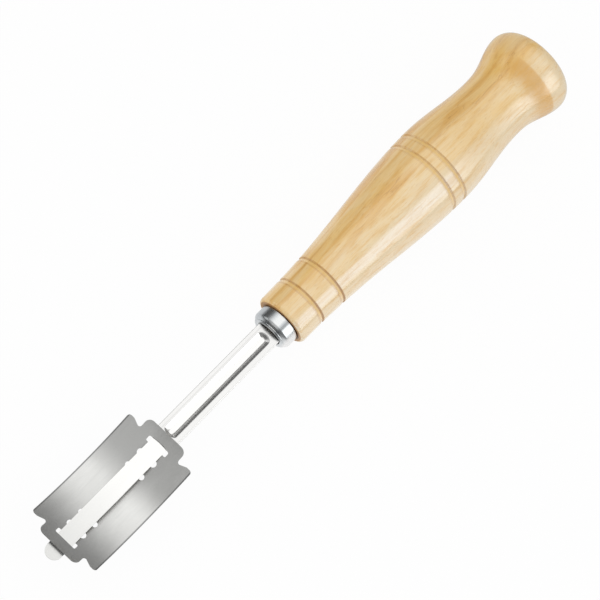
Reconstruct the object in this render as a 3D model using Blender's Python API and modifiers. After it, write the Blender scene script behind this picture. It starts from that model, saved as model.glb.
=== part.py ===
# Bread lame: a turned wooden handle, a domed ferrule, a crimped steel tube with a flat tongue,
# and a double-edge razor blade threaded on the tongue, which bows it.
# Metres, +Z up. The tool lies along X with its tip at +X and the hollow side of the blade up.
# The origin is on the table, under the middle of the tool's length.
import math

import bmesh
import bpy

MM = 0.001

# Handle: its front shoulder stands out past the ferrule, and a spigot on it goes inside the ferrule
FRONT_SHOULDER = 1.85 * MM
FRONT_EDGE = 1.0 * MM
SPIGOT_WALL = 0.85 * MM
SPIGOT_LENGTH = 2.5 * MM
SPIGOT_CHAMFER = 0.5 * MM
BELLY_RADIUS = 11.85 * MM
BELLY_FROM_FRONT = 60.9 * MM
NECK_RADIUS = 9.8 * MM
NECK_FROM_BELLY = 22.9 * MM
NECK_FROM_BUTT = 19.0 * MM
FLARE_RADIUS = 12.75 * MM
FLARE_FROM_BUTT = 4.6 * MM
BUTT_FACE_RADIUS = 8.5 * MM
FRONT_SWELL = 1.15
FLARE_SWELL = 1.2

# Scorched rings: one pair near the front of the handle, one pair just ahead of the belly
RING_WIDTH = 0.9 * MM
RING_FLOOR_WIDTH = 0.36 * MM
RING_DEPTH = 0.4 * MM
FRONT_RING_FROM_FRONT = 7.8 * MM
FRONT_RING_SPACING = 7.8 * MM
BELLY_RING_AHEAD = 5.55 * MM
BELLY_RING_SPACING = 4.15 * MM

# Ferrule
FERRULE_STRAIGHT = 0.5 * MM
FERRULE_WALL = 0.6 * MM
FERRULE_DOME_POWER = 2.5

# Shank tube and the groove that is pressed into its front side
TUBE_RADIUS = 3.5 * MM
TUBE_WALL = 0.8 * MM
TUBE_END_EDGE = 0.25 * MM
TANG_DEPTH = 38.0 * MM
SHANK_REACH = 42.48 * MM
GROOVE_RADIUS = 2.6 * MM
GROOVE_FROM_FERRULE = 0.9 * MM
GROOVE_FROM_TUBE_END = 0.5 * MM

# Tongue: its rear face lies a little above the tool's axis
TONGUE_THICKNESS = 0.5 * MM
TONGUE_RISE = 0.35 * MM
TONGUE_INSERTION = 28.0 * MM
TIP_REACH = 3.08 * MM

# Razor blade, as flat sizes, and the radius that the tongue bows it to
BLADE_LENGTH = 43.0 * MM
BLADE_WIDTH = 22.0 * MM
BLADE_THICKNESS = 0.1 * MM
BOW_RADIUS = 34.5 * MM
BRIDGE_WIDTH = 3.55 * MM
TAB_CORNER = 1.8 * MM
TAB_REACH = 3.0 * MM
EAR_WIDTH = 4.5 * MM
EAR_CORNER = 0.6 * MM
EAR_DEPTH = 1.8 * MM
EAR_UNDERCUT = 0.85 * MM
UNDERCUT_RADIUS = 0.75 * MM
TEE_CORNER = 0.35 * MM
OUTER_NOTCH_FROM_TEE = 3.28 * MM
OUTER_NOTCH_RADIUS = 1.0 * MM
NOTCH_SPACING = 4.5 * MM
INNER_NOTCH_RADIUS = 0.8 * MM
HONE_WIDTH = 0.6 * MM
HONE_EDGE_SHARE = 0.15

# Clearances
FIT_GAP = 0.1 * MM
LIP_GAP = 0.15 * MM
SPIGOT_GAP = 0.45 * MM
SPIGOT_END_GAP = 1.6 * MM
BORE_GAP = 0.12 * MM
CRIMP_GAP = 0.1 * MM
THREAD_GAP = 0.08 * MM
STOP_GAP = 0.3 * MM
TEE_SIDE_GAP = 0.9 * MM
SLOT_LAP = 0.3 * MM
NOTCH_SHOW = 0.7 * MM

# Adhesive around the tang
GLUE_LINE = 0.3 * MM
GLUE_PLUG = 5.0 * MM
GLUE_FLOOR = 2.0 * MM
GLUE_FROM_MOUTH = 0.6 * MM

# Facets
TURN_STEPS = 48
GROOVE_STEPS = 32
PROFILE_STATIONS = 34
EDGE_STEPS = 4
CAP_ARC_STEPS = 8
CORNER_STEPS = 6
NOTCH_STEPS = 8
TIP_STEPS = 24
BEND_STATION = 1.2 * MM
MERGE = 0.01 * MM
SCORE_TOLERANCE = 0.001 * MM

# Sizes that follow from one another, from the tube outwards
BORE_RADIUS = TUBE_RADIUS - TUBE_WALL
HANDLE_BORE_RADIUS = TUBE_RADIUS + FIT_GAP + GLUE_LINE + FIT_GAP
SPIGOT_RADIUS = HANDLE_BORE_RADIUS + SPIGOT_WALL
FERRULE_RADIUS = SPIGOT_RADIUS + SPIGOT_GAP + FERRULE_WALL
FERRULE_LENGTH = SPIGOT_LENGTH + SPIGOT_END_GAP + FERRULE_WALL
FRONT_RADIUS = FERRULE_RADIUS + FRONT_SHOULDER
HANDLE_LENGTH = BELLY_FROM_FRONT + NECK_FROM_BELLY + NECK_FROM_BUTT
TONGUE_FRONT = TONGUE_RISE + TONGUE_THICKNESS
TONGUE_HALF_WIDTH = math.sqrt((BORE_RADIUS - BORE_GAP) ** 2 - TONGUE_FRONT ** 2)
BLADE_HALF_CHORD = (BOW_RADIUS + BLADE_THICKNESS / 2) * math.sin(BLADE_LENGTH / 2 / BOW_RADIUS)
OVERALL_LENGTH = HANDLE_LENGTH + SHANK_REACH + STOP_GAP + 2 * BLADE_HALF_CHORD + TIP_REACH

# Places along the axis
BUTT_X = -OVERALL_LENGTH / 2
FRONT_X = BUTT_X + HANDLE_LENGTH
FERRULE_FACE_X = FRONT_X + FERRULE_LENGTH
TANG_END_X = FRONT_X - TANG_DEPTH
TUBE_END_X = FRONT_X + SHANK_REACH
BLADE_X = TUBE_END_X + STOP_GAP + BLADE_HALF_CHORD
TIP_X = OVERALL_LENGTH / 2
AXIS_HEIGHT = max(FLARE_RADIUS, BELLY_RADIUS)
SPIGOT_TOP_X = FRONT_X + SPIGOT_LENGTH
HANDLE_BORE_END_X = TANG_END_X - FIT_GAP - GLUE_FLOOR - FIT_GAP

# Heights of the bowed blade, from the tool's axis: the end bridges lie on the tongue's front face
SLOT_END = BLADE_LENGTH / 2 - BRIDGE_WIDTH
BRIDGE_RISE = BOW_RADIUS - (BOW_RADIUS + BLADE_THICKNESS / 2) * math.cos(SLOT_END / BOW_RADIUS)
BLADE_LOW = TONGUE_FRONT + THREAD_GAP - BRIDGE_RISE
# The tee ends of the slot run in until the side strips are clear behind the tongue
STRIP_RISE = TONGUE_RISE - THREAD_GAP - BLADE_LOW
TEE_INNER = BOW_RADIUS * math.acos((BOW_RADIUS - STRIP_RISE) / (BOW_RADIUS - BLADE_THICKNESS / 2))


def clear_scene():
    for item in list(bpy.data.objects):
        bpy.data.objects.remove(item, do_unlink=True)


def new_collection(name):
    collection = bpy.data.collections.new(name)
    bpy.context.scene.collection.children.link(collection)
    return collection


def new_material(name, colour, roughness, metallic):
    material = bpy.data.materials.new(name)
    material.use_nodes = True
    shader = material.node_tree.nodes["Principled BSDF"]
    shader.inputs["Base Color"].default_value = (*colour, 1.0)
    shader.inputs["Roughness"].default_value = roughness
    shader.inputs["Metallic"].default_value = metallic
    return material


def place(item, parent, collection, material=None):
    collection.objects.link(item)
    item.parent = parent
    if material:
        item.data.materials.append(material)


# A turned shape about the tool's axis: points are (radius, place along the axis)
def turned(name, points, steps=TURN_STEPS, closed=False):
    mesh = bpy.data.meshes.new(name)
    edges = [(i, i + 1) for i in range(len(points) - 1)]
    if closed:
        edges.append((len(points) - 1, 0))
    mesh.from_pydata([(radius, 0.0, along) for radius, along in points], edges, [])
    item = bpy.data.objects.new(name, mesh)
    item.rotation_euler = (0.0, math.pi / 2, 0.0)
    screw = item.modifiers.new("Turn", "SCREW")
    screw.axis = "Z"
    screw.steps = steps
    screw.render_steps = steps
    screw.use_merge_vertices = True
    screw.merge_threshold = MERGE
    screw.use_smooth_shade = True
    return item


# A flat plate from closed outlines, the later ones being holes, as a welded mesh
def flat_plate(name, outlines, thickness):
    curve = bpy.data.curves.new(name, "CURVE")
    curve.dimensions = "2D"
    curve.fill_mode = "BOTH"
    curve.extrude = thickness / 2
    for outline in outlines:
        spline = curve.splines.new("POLY")
        spline.points.add(len(outline) - 1)
        for point, (x, y) in zip(spline.points, outline):
            point.co = (x, y, 0.0, 1.0)
        spline.use_cyclic_u = True
    shape = bpy.data.objects.new(name, curve)
    bpy.context.scene.collection.objects.link(shape)
    graph = bpy.context.evaluated_depsgraph_get()
    mesh = bpy.data.meshes.new_from_object(shape.evaluated_get(graph))
    bpy.data.objects.remove(shape, do_unlink=True)
    work = bmesh.new()
    work.from_mesh(mesh)
    bmesh.ops.remove_doubles(work, verts=work.verts, dist=MERGE)
    bmesh.ops.recalc_face_normals(work, faces=work.faces)
    work.to_mesh(mesh)
    work.free()
    mesh.name = name
    return bpy.data.objects.new(name, mesh)


def cut(item, cutter):
    boolean = item.modifiers.new("Cut " + cutter.name, "BOOLEAN")
    boolean.operation = "DIFFERENCE"
    boolean.object = cutter


def as_cutter(item, parent, collection):
    place(item, parent, collection)
    item.hide_render = True
    item.display_type = "WIRE"


# Points on an arc about (cx, cy), from one angle to the other in degrees
def arc(cx, cy, radius, start, end, steps=CORNER_STEPS):
    points = []
    for i in range(steps + 1):
        angle = math.radians(start + (end - start) * i / steps)
        points.append((cx + radius * math.cos(angle), cy + radius * math.sin(angle)))
    return points


def ease(share):
    return (1 - math.cos(math.pi * share)) / 2


# Outer radius of the wood, by the distance behind the front face
def wood_radius(back):
    neck = HANDLE_LENGTH - NECK_FROM_BUTT
    flare = HANDLE_LENGTH - FLARE_FROM_BUTT
    if back <= BELLY_FROM_FRONT:
        share = (back / BELLY_FROM_FRONT) ** FRONT_SWELL
        return FRONT_RADIUS + (BELLY_RADIUS - FRONT_RADIUS) * ease(share)
    if back <= neck:
        share = (back - BELLY_FROM_FRONT) / (neck - BELLY_FROM_FRONT)
        return BELLY_RADIUS + (NECK_RADIUS - BELLY_RADIUS) * ease(share)
    share = min(1.0, (back - neck) / (flare - neck)) ** FLARE_SWELL
    return NECK_RADIUS + (FLARE_RADIUS - NECK_RADIUS) * ease(share)


def handle_profile():
    flare = HANDLE_LENGTH - FLARE_FROM_BUTT
    belly_ring = BELLY_FROM_FRONT - BELLY_RING_AHEAD
    rings = [FRONT_RING_FROM_FRONT, FRONT_RING_FROM_FRONT + FRONT_RING_SPACING]
    rings += [belly_ring, belly_ring + BELLY_RING_SPACING]
    step = (flare - FRONT_EDGE) / PROFILE_STATIONS
    backs = [FRONT_EDGE + step * i for i in range(1, PROFILE_STATIONS + 1)]
    outside = [(back, wood_radius(back)) for back in backs
               if all(abs(back - ring) > RING_WIDTH for ring in rings)]
    for ring in rings:
        for half_width, depth in ((RING_WIDTH / 2, 0.0), (RING_FLOOR_WIDTH / 2, RING_DEPTH)):
            for back in (ring - half_width, ring + half_width):
                outside.append((back, wood_radius(back) - depth))
    outside.sort()
    points = [(0.0, HANDLE_BORE_END_X), (HANDLE_BORE_RADIUS, HANDLE_BORE_END_X)]
    points += [(HANDLE_BORE_RADIUS, SPIGOT_TOP_X), (SPIGOT_RADIUS - SPIGOT_CHAMFER, SPIGOT_TOP_X)]
    points += [(SPIGOT_RADIUS, SPIGOT_TOP_X - SPIGOT_CHAMFER), (SPIGOT_RADIUS, FRONT_X)]
    rim = wood_radius(FRONT_EDGE) - FRONT_EDGE
    points += arc(rim, FRONT_X - FRONT_EDGE, FRONT_EDGE, 90, 0, EDGE_STEPS)
    points += [(radius, FRONT_X - back) for back, radius in outside]
    for i in range(1, CAP_ARC_STEPS + 1):
        angle = math.pi / 2 * i / CAP_ARC_STEPS
        radius = BUTT_FACE_RADIUS + (FLARE_RADIUS - BUTT_FACE_RADIUS) * math.cos(angle)
        points.append((radius, BUTT_X + FLARE_FROM_BUTT * (1 - math.sin(angle))))
    points.append((0.0, BUTT_X))
    return points


# One wall of the domed ferrule, from the lip around the tube to the end against the wood
def dome(lip, rim, face_x):
    straight_x = FRONT_X + FIT_GAP + FERRULE_STRAIGHT
    points = []
    for i in range(CAP_ARC_STEPS + 1):
        angle = math.pi / 2 * i / CAP_ARC_STEPS
        out = max(0.0, math.sin(angle)) ** (2 / FERRULE_DOME_POWER)
        along = max(0.0, math.cos(angle)) ** (2 / FERRULE_DOME_POWER)
        points.append((lip + (rim - lip) * out, straight_x + (face_x - straight_x) * along))
    points.append((rim, FRONT_X + FIT_GAP))
    return points


def ferrule_profile():
    lip = TUBE_RADIUS + LIP_GAP
    outer = dome(lip, FERRULE_RADIUS, FERRULE_FACE_X)
    inner = dome(lip, FERRULE_RADIUS - FERRULE_WALL, FERRULE_FACE_X - FERRULE_WALL)
    return outer + inner[::-1]


def glue_profile():
    top_x = SPIGOT_TOP_X - GLUE_FROM_MOUTH
    seat_x = TANG_END_X - FIT_GAP
    inside = TUBE_RADIUS + FIT_GAP
    plug = BORE_RADIUS - FIT_GAP
    floor_x = seat_x - GLUE_FLOOR
    points = [(0.0, TANG_END_X + GLUE_PLUG), (plug, TANG_END_X + GLUE_PLUG), (plug, seat_x)]
    points += [(inside, seat_x), (inside, top_x), (inside + GLUE_LINE, top_x)]
    points += [(inside + GLUE_LINE, floor_x), (0.0, floor_x)]
    return points


def rod_profile(radius, low_x, high_x, edge):
    points = [(0.0, high_x), (radius - edge, high_x), (radius, high_x - edge)]
    points += [(radius, low_x + edge), (radius - edge, low_x), (0.0, low_x)]
    return points


# A rod with half-round ends
def capsule_profile(radius, low_x, high_x):
    points = [(radius * math.sin(math.pi / 2 * i / CAP_ARC_STEPS),
               high_x - radius + radius * math.cos(math.pi / 2 * i / CAP_ARC_STEPS))
              for i in range(CAP_ARC_STEPS + 1)]
    points += [(across, low_x + high_x - along) for across, along in reversed(points)]
    return points


def build_tube(parent, parts, cutters, material):
    tube = turned("shank_tube", rod_profile(TUBE_RADIUS, TANG_END_X, TUBE_END_X, TUBE_END_EDGE))
    groove_low = FERRULE_FACE_X + GROOVE_FROM_FERRULE
    groove_high = TUBE_END_X - GROOVE_FROM_TUBE_END
    groove_floor = TONGUE_FRONT + CRIMP_GAP + TUBE_WALL
    groove_height = groove_floor + GROOVE_RADIUS
    groove = turned("groove_cutter", capsule_profile(GROOVE_RADIUS, groove_low, groove_high), GROOVE_STEPS)
    wall_outside = capsule_profile(GROOVE_RADIUS + TUBE_WALL, groove_low - TUBE_WALL, groove_high + TUBE_WALL)
    ridge = turned("groove_wall_cutter", wall_outside, GROOVE_STEPS)
    past_end = TUBE_WALL
    bore = turned("tube_bore_cutter", rod_profile(BORE_RADIUS, TANG_END_X - past_end, TUBE_END_X + past_end, 0.0))
    groove.location.z = groove_height
    ridge.location.z = groove_height
    for cutter in (groove, ridge, bore):
        as_cutter(cutter, parent, cutters)
    cut(bore, ridge)
    cut(tube, groove)
    cut(tube, bore)
    place(tube, parent, parts, material)


def build_tongue(parent, parts, material):
    root_x = TUBE_END_X - TONGUE_INSERTION
    round_x = TIP_X - TONGUE_HALF_WIDTH
    outline = [(root_x, TONGUE_HALF_WIDTH), (root_x, -TONGUE_HALF_WIDTH)]
    outline += arc(round_x, 0.0, TONGUE_HALF_WIDTH, -90, 90, TIP_STEPS)
    tongue = flat_plate("tongue", [outline], TONGUE_THICKNESS)
    tongue.location.z = TONGUE_FRONT - TONGUE_THICKNESS / 2
    place(tongue, parent, parts, material)


# A quarter outline is mirrored to the other three quarters, going round once
def all_round(quarter):
    upper = quarter + [(-x, y) for x, y in reversed(quarter)]
    return upper + [(-x, -y) for x, y in upper]


def blade_edge():
    end = BLADE_LENGTH / 2
    ear = end - TAB_REACH
    side = BLADE_WIDTH / 2
    tab = side - EAR_WIDTH
    recess = ear - EAR_UNDERCUT
    quarter = arc(end - TAB_CORNER, tab - TAB_CORNER, TAB_CORNER, 0, 90)
    quarter += arc(recess + UNDERCUT_RADIUS, tab + UNDERCUT_RADIUS, UNDERCUT_RADIUS, 270, 180)
    quarter.append((ear, side - EAR_DEPTH))
    quarter += arc(ear - EAR_CORNER, side - EAR_CORNER, EAR_CORNER, 0, 90)
    return all_round(quarter)


# A round bite out of the slot's edge, whose far side shows past the tongue.
# A small one has straight sides below its half circle, and a large one is less than a half circle.
def notch(place_x, radius, edge):
    centre = TONGUE_HALF_WIDTH + NOTCH_SHOW - radius
    start = math.degrees(math.asin(max(0.0, (edge - centre) / radius)))
    bite = arc(place_x, centre, radius, start, 180 - start, NOTCH_STEPS)
    if centre - edge > MERGE:
        bite = [(place_x + radius, edge)] + bite + [(place_x - radius, edge)]
    return bite


def blade_slot():
    edge = TONGUE_HALF_WIDTH - SLOT_LAP
    reach = TONGUE_HALF_WIDTH + TEE_SIDE_GAP
    outer_notch = TEE_INNER - OUTER_NOTCH_FROM_TEE
    quarter = arc(SLOT_END - TEE_CORNER, reach - TEE_CORNER, TEE_CORNER, 0, 90)
    quarter += arc(TEE_INNER + TEE_CORNER, reach - TEE_CORNER, TEE_CORNER, 90, 180)
    quarter.append((TEE_INNER, edge))
    quarter += notch(outer_notch, OUTER_NOTCH_RADIUS, edge)
    quarter += notch(outer_notch - NOTCH_SPACING, INNER_NOTCH_RADIUS, edge)
    return all_round(quarter)


# Lines across the flat blade where it can bend, and lines along it where the hone starts
def score_blade(work):
    count = math.ceil(BLADE_LENGTH / BEND_STATION)
    planes = [((BLADE_LENGTH * (i / count - 0.5), 0.0, 0.0), (1.0, 0.0, 0.0)) for i in range(1, count)]
    planes += [((0.0, side * (BLADE_WIDTH / 2 - HONE_WIDTH), 0.0), (0.0, 1.0, 0.0)) for side in (-1, 1)]
    for point, normal in planes:
        every = work.verts[:] + work.edges[:] + work.faces[:]
        bmesh.ops.bisect_plane(work, geom=every, plane_co=point, plane_no=normal, dist=SCORE_TOLERANCE)


def build_blade(parent, parts, material):
    blade = flat_plate("razor_blade", [blade_edge(), blade_slot()], BLADE_THICKNESS)
    work = bmesh.new()
    work.from_mesh(blade.data)
    score_blade(work)
    bmesh.ops.triangulate(work, faces=work.faces)
    for vertex in work.verts:
        along, across, up = vertex.co
        if abs(across) > BLADE_WIDTH / 2 - MERGE:
            up *= HONE_EDGE_SHARE
        angle = along / BOW_RADIUS
        vertex.co.x = (BOW_RADIUS - up) * math.sin(angle)
        vertex.co.z = BOW_RADIUS - (BOW_RADIUS - up) * math.cos(angle)
    work.to_mesh(blade.data)
    work.free()
    blade.location = (BLADE_X, 0.0, BLADE_LOW)
    place(blade, parent, parts, material)


def main():
    clear_scene()
    parts = new_collection("bread_lame")
    cutters = new_collection("cutters")
    axis = bpy.data.objects.new("tool_axis", None)
    axis.location.z = AXIS_HEIGHT
    parts.objects.link(axis)
    beech = new_material("varnished_beech", (0.72, 0.46, 0.22), 0.3, 0.0)
    plated = new_material("plated_steel", (0.78, 0.79, 0.8), 0.12, 1.0)
    polished = new_material("polished_stainless", (0.8, 0.8, 0.78), 0.16, 1.0)
    blade_steel = new_material("blade_steel", (0.5, 0.5, 0.49), 0.3, 1.0)
    adhesive = new_material("cured_adhesive", (0.7, 0.62, 0.42), 0.5, 0.0)
    place(turned("handle", handle_profile()), axis, parts, beech)
    place(turned("ferrule", ferrule_profile(), closed=True), axis, parts, plated)
    place(turned("tang_glue", glue_profile()), axis, parts, adhesive)
    build_tube(axis, parts, cutters, polished)
    build_tongue(axis, parts, polished)
    build_blade(axis, parts, blade_steel)


main()
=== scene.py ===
import math
import bmesh
import bpy
from mathutils import Matrix, Vector


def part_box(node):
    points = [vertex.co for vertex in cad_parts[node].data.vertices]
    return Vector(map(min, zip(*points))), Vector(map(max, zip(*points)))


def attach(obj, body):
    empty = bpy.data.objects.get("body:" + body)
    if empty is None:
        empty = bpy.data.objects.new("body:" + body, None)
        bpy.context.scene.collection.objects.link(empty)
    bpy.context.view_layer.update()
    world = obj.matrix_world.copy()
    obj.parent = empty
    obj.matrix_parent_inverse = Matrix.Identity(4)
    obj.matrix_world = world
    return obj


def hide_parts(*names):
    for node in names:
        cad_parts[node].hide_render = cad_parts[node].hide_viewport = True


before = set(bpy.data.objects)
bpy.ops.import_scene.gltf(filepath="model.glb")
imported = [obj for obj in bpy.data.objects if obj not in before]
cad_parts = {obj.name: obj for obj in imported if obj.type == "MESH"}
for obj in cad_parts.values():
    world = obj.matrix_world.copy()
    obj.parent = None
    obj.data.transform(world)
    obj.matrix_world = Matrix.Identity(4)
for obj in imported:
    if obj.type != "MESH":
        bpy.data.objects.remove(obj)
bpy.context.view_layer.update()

mm = 0.001
seam = 0.0005 * mm   # points closer than this are one
hair = 0.01 * mm     # a length too small to count
scene = bpy.context.scene
handleLow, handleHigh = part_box("handle")
ferruleLow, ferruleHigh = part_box("ferrule")
tubeLow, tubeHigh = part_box("shank_tube")
tongueLow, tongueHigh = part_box("tongue")
bladeLow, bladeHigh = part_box("razor_blade")
axisHeight = (handleLow.z + handleHigh.z) / 2
print("frame loaded, the tool's axis is", round(axisHeight / mm, 3), "mm above the table")


# a colour as it looks on screen, 0 to 255, to the linear values that shaders take
def tone(red, green, blue):
    def linear(part):
        part /= 255
        return part / 12.92 if part <= 0.04045 else ((part + 0.055) / 1.055) ** 2.4
    return (linear(red), linear(green), linear(blue), 1.0)


# one socket of a node tree: arithmetic on it adds Math nodes, and node() adds any other
class Wire:
    def __init__(self, socket):
        self.socket = socket

    def node(self, kind, settings=None, sockets=None, out=0):
        made = self.socket.id_data.nodes.new(kind)
        for name, value in (settings or {}).items():
            setattr(made, name, value)
        for name, value in (sockets or {}).items():
            plug(made.inputs[name], value)
        return Wire(made.outputs[out])

    def math(self, operation, *values):
        return self.node("ShaderNodeMath", {"operation": operation}, dict(enumerate(values)))

    def __add__(self, other):
        return self.math("ADD", self, other)

    def __sub__(self, other):
        return self.math("SUBTRACT", self, other)

    def __rsub__(self, other):
        return self.math("SUBTRACT", other, self)

    def __mul__(self, other):
        return self.math("MULTIPLY", self, other)

    def __truediv__(self, other):
        return self.math("DIVIDE", self, other)

    def __rtruediv__(self, other):
        return self.math("DIVIDE", other, self)

    def __abs__(self):
        return self.math("ABSOLUTE", self)

    __radd__ = __add__
    __rmul__ = __mul__

    # 0 below low and 1 above high, or the other way round when low is the larger
    def ramp(self, low, high):
        sockets = {"Value": self, "From Min": low, "From Max": high}
        return self.node("ShaderNodeMapRange", {"interpolation_type": "SMOOTHSTEP"}, sockets)

    # a ramp up and a ramp down, multiplied
    def band(self, rise, fall):
        return self.ramp(*rise) * self.ramp(*fall)

    # a line at one value, which fades on both sides
    def line(self, at, fade):
        return abs(self - at).ramp(*fade)

    # from base where this is 0 to base and amount where it is 1
    def above(self, base, amount):
        return self * amount + base

    def largest(self, other):
        return self.math("MAXIMUM", self, other)

    # a vector stretched or shrunk along each axis
    def scaled(self, amounts):
        return self.node("ShaderNodeVectorMath", {"operation": "MULTIPLY"}, {0: self, 1: amounts})

    def parts(self):
        split = self.node("ShaderNodeSeparateXYZ", None, {0: self}).socket.node
        return [Wire(socket) for socket in split.outputs]

    # soft noise from 0 to 1 on this vector
    def noise(self, scale, detail=2.0, rough=0.5, distortion=0.0):
        sockets = {"Vector": self.scaled(scale), "Scale": 1.0, "Detail": detail,
                   "Roughness": rough, "Distortion": distortion}
        return self.node("ShaderNodeTexNoise", None, sockets)

    # from one colour to another by this value
    def mix(self, first, second, way="MIX"):
        settings = {"data_type": "RGBA", "blend_type": way}
        return self.node("ShaderNodeMix", settings, {0: self, 6: first, 7: second}, 2)


def plug(socket, value):
    if isinstance(value, Wire):
        socket.id_data.links.new(value.socket, socket)
    else:
        socket.default_value = value


# a material with a Principled shader, and a wire with the place on the piece in millimetres
def newFinish(name):
    material = bpy.data.materials.new(name)
    material.use_nodes = True
    tree = material.node_tree
    tree.nodes.clear()
    shader = tree.nodes.new("ShaderNodeBsdfPrincipled")
    output = tree.nodes.new("ShaderNodeOutputMaterial")
    tree.links.new(shader.outputs[0], output.inputs["Surface"])
    place = Wire(tree.nodes.new("ShaderNodeTexCoord").outputs["Object"])
    return material, shader, place.scaled((1 / mm, 1 / mm, 1 / mm))


def setShader(shader, values):
    for name, value in values.items():
        plug(shader.inputs[name], value)


def bump(height, depth):
    return height.node("ShaderNodeBump", None, {"Strength": 1.0, "Distance": depth, "Height": height})


# the piece's object, at the origin, in place of its CAD node
def addPiece(name, mesh, body, node):
    piece = bpy.data.objects.new(name, mesh)
    scene.collection.objects.link(piece)
    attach(piece, body)
    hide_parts(node)
    print(name, "has", len(mesh.polygons), "faces")
    return piece


# closes seams and turns every face outwards
def tidyMesh(mesh, merge=seam):
    work = bmesh.new()
    work.from_mesh(mesh)
    bmesh.ops.remove_doubles(work, verts=work.verts, dist=merge)
    bmesh.ops.recalc_face_normals(work, faces=work.faces)
    work.to_mesh(mesh)
    work.free()
    return mesh


# the mesh that an object's modifiers make, without the object
def bakedMesh(source, name):
    graph = bpy.context.evaluated_depsgraph_get()
    mesh = bpy.data.meshes.new_from_object(source.evaluated_get(graph))
    source.modifiers.clear()
    bpy.data.objects.remove(source, do_unlink=True)
    mesh.name = name
    return mesh


def ease(share):
    return (1 - math.cos(math.pi * share)) / 2


def arc(cx, cy, radius, start, end, steps):
    angles = [math.radians(start + (end - start) * i / steps) for i in range(steps + 1)]
    return [(cx + radius * math.cos(a), cy + radius * math.sin(a)) for a in angles]


# camera
cameraView = {
    "lens": 156.0,
    "sensor": 36.0,
    "aim": (0.431 * mm, -0.385 * mm, axisHeight),
    "distance": 676.25 * mm,
    "towardTip": 16.607,   # degrees from overhead
    "towardSide": 5.1,
    "spin": 45.355,        # the tool's turn in the picture
}


def makeCamera(view):
    tilt, lean, spin = (math.radians(view[key]) for key in ("towardTip", "towardSide", "spin"))
    back = Vector((math.sin(tilt), math.cos(tilt) * math.sin(lean), math.cos(tilt) * math.cos(lean)))
    along = Vector((-1.0, 0.0, 0.0))
    along = (along - back * along.dot(back)).normalized()
    below = along.cross(back)
    right = along * math.cos(spin) + below * math.sin(spin)
    up = along * math.sin(spin) - below * math.cos(spin)
    data = bpy.data.cameras.new("pictureCamera")
    data.lens = view["lens"]
    data.sensor_width = view["sensor"]
    camera = bpy.data.objects.new("pictureCamera", data)
    turn = Matrix((right, up, back)).transposed().to_4x4()
    camera.matrix_world = Matrix.Translation(Vector(view["aim"]) + back * view["distance"]) @ turn
    scene.collection.objects.link(camera)
    scene.camera = camera


makeCamera(cameraView)
print("camera placed")


# studio: white floor, broad light overhead that fades toward both ends of the tool,
# a long softbox on the +Y side and a dark side at -Y
studio = {
    "floorSize": 3.0,
    "floorDrop": 0.1 * mm,
    "floorColour": (0.9, 0.9, 0.9, 1.0),
    "floorWhite": 0.95,
    "floorFar": 0.18,                # white that polished surfaces see far off
    "floorFade": (0.20, 0.02),
    "floorTwice": 0.3,               # and what they see of it in another polished surface
    "secondBounce": (1.2, 1.8),
    "evenLight": 1.15,               # what matt surfaces see
    "dimmest": 0.10,                 # what polished surfaces see, as parts that add up
    "lowEnds": 0.25,
    "lowEndsFade": (0.92, 0.86),     # along X, as the direction's part
    "tipSide": 0.24,
    "tipSideFade": (-0.3, 0.0),
    "panel": 0.96,
    "panelRise": (-0.95, -0.35),
    "panelFall": (0.34, -0.21),
    "darkSideFade": (-60.0, -31.0),  # across Y, in degrees from overhead
    "gapFade": (40.0, 26.0),
    "gapLevel": 0.35,
    "sideBoard": 2.2,
    "sideBoardFade": (36.0, 48.0),
    "sideBoardRise": (-0.75, -0.28),
    "sideBoardFall": (0.16, 0.02),
    "card": 0.9,                     # a small white card on the dark side, toward the tip
    "cardRise": (0.05, 0.15),
    "cardFall": (0.75, 0.60),
    "cardLean": (-82.0, -74.0),
    "cardTop": (-48.0, -56.0),
    "boxElevation": 26.0,
    "boxTurn": -3.0,                 # degrees toward the butt
    "boxDistance": 0.9,
    "boxSize": (0.55, 0.46),
    "boxLight": 0.5,
}


# tells polished surfaces and the camera from all else, and counts the reflections
def rayKinds(tree):
    path = tree.nodes.new("ShaderNodeLightPath")
    shiny = Wire(path.outputs["Is Glossy Ray"]).largest(Wire(path.outputs["Is Transmission Ray"]))
    return shiny, Wire(path.outputs["Is Camera Ray"]), Wire(path.outputs["Glossy Depth"])


def makeFloor(setup):
    mesh = bpy.data.meshes.new("floor")
    work = bmesh.new()
    bmesh.ops.create_grid(work, x_segments=4, y_segments=4, size=setup["floorSize"] / 2)
    work.to_mesh(mesh)
    work.free()
    floor = bpy.data.objects.new("floor", mesh)
    floor.location.z = -setup["floorDrop"]
    scene.collection.objects.link(floor)
    material = bpy.data.materials.new("paleFloor")
    material.use_nodes = True
    tree = material.node_tree
    tree.nodes.clear()
    place = Wire(tree.nodes.new("ShaderNodeTexCoord").outputs["Object"])
    far = place.node("ShaderNodeVectorMath", {"operation": "LENGTH"}, {0: place}, "Value")
    near = far.ramp(*setup["floorFade"]).above(setup["floorFar"], 1 - setup["floorFar"])
    shiny, seen, bounces = rayKinds(tree)
    again = bounces.ramp(*setup["secondBounce"])
    level = seen.largest(near * shiny * (1 - again * (1 - setup["floorTwice"])))
    matt = seen.node("ShaderNodeBsdfDiffuse", None, {"Color": setup["floorColour"]})
    white = seen.node("ShaderNodeEmission", None, {"Strength": level})
    share = seen.largest(shiny) * setup["floorWhite"]
    both = seen.node("ShaderNodeMixShader", None, {0: share, 1: matt, 2: white})
    output = tree.nodes.new("ShaderNodeOutputMaterial")
    tree.links.new(both.socket, output.inputs["Surface"])
    mesh.materials.append(material)


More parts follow.
